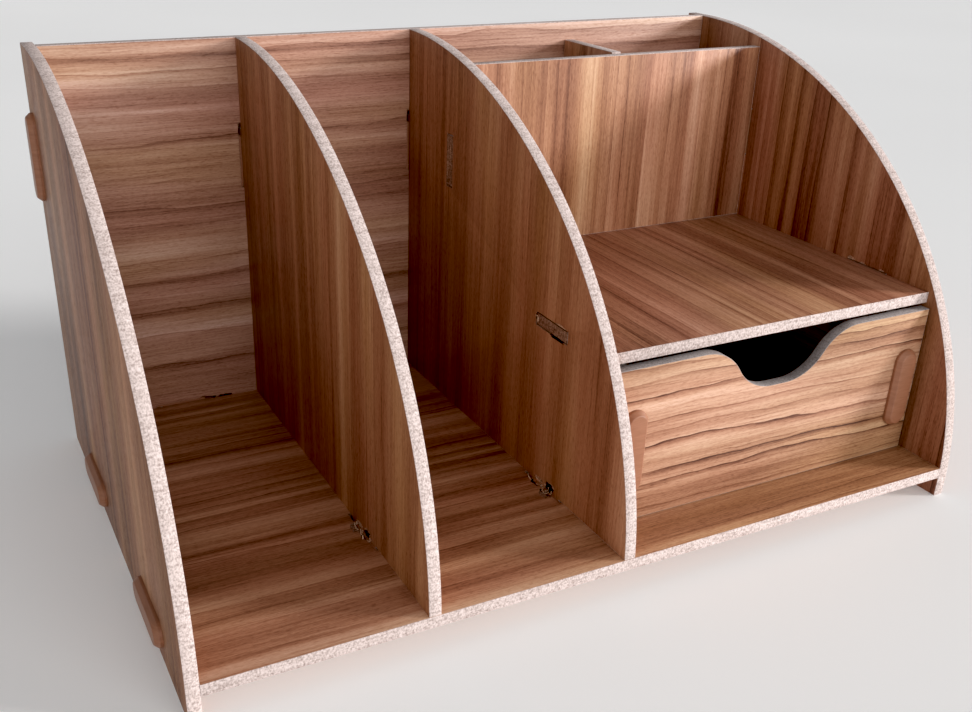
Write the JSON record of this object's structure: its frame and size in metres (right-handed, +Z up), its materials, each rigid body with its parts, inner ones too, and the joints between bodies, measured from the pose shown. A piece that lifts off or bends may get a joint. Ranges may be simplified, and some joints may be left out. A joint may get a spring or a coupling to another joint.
{
  "type": "desktop file sorter",
  "caption": "Desktop file sorter of slotted laminated boards: curved-front file bays, an open shelf with pen bins behind it, and a drawer with a scooped finger notch.",
  "frame": {"origin": "centre of the object's footprint, on the surface it stands on", "axes": "+X to the right of a person facing the open front, -Y out of the front, +Z up"},
  "size_m": [0.4356, 0.264, 0.228],
  "materials": {
    "frame_board": "satin printed walnut laminate on medium-density fibreboard, raw pale edges",
    "drawer_board": "satin printed walnut laminate on medium-density fibreboard, raw pale edges",
    "clip_plastic": "satin moulded plastic, terracotta brown"
  },
  "bodies": {
    "frame": {"back_panel": "frame_board", "base_board": "frame_board", "clip_back_base_left": "clip_plastic", "clip_back_base_right": "clip_plastic", "clip_back_divider_left": "clip_plastic", "clip_back_divider_right": "clip_plastic", "clip_back_pen_divider": "clip_plastic", "clip_back_shelf": "clip_plastic", "clip_left_side_back": "clip_plastic", "clip_left_side_base_front": "clip_plastic", "clip_left_side_base_rear": "clip_plastic", "clip_right_side_back": "clip_plastic", "clip_right_side_base_front": "clip_plastic", "clip_right_side_base_rear": "clip_plastic", "clip_under_divider_left": "clip_plastic", "clip_under_divider_right": "clip_plastic", "divider_left": "frame_board", "divider_right": "frame_board", "pen_divider": "frame_board", "pen_front_panel": "frame_board", "shelf_board": "frame_board", "side_panel_left": "frame_board", "side_panel_right": "frame_board"},
    "drawer": {"clip_drawer_back_left": "clip_plastic", "clip_drawer_back_right": "clip_plastic", "clip_drawer_front_left": "clip_plastic", "clip_drawer_front_right": "clip_plastic", "drawer_back": "drawer_board", "drawer_floor": "drawer_board", "drawer_front": "drawer_board", "drawer_side_left": "drawer_board", "drawer_side_right": "drawer_board"}
  },
  "joints": [
    {"name": "drawer_slide", "type": "slide", "parent": "frame", "child": "drawer", "axis": [0, -1, 0], "range_m": [0, 0.18]}
  ]
}
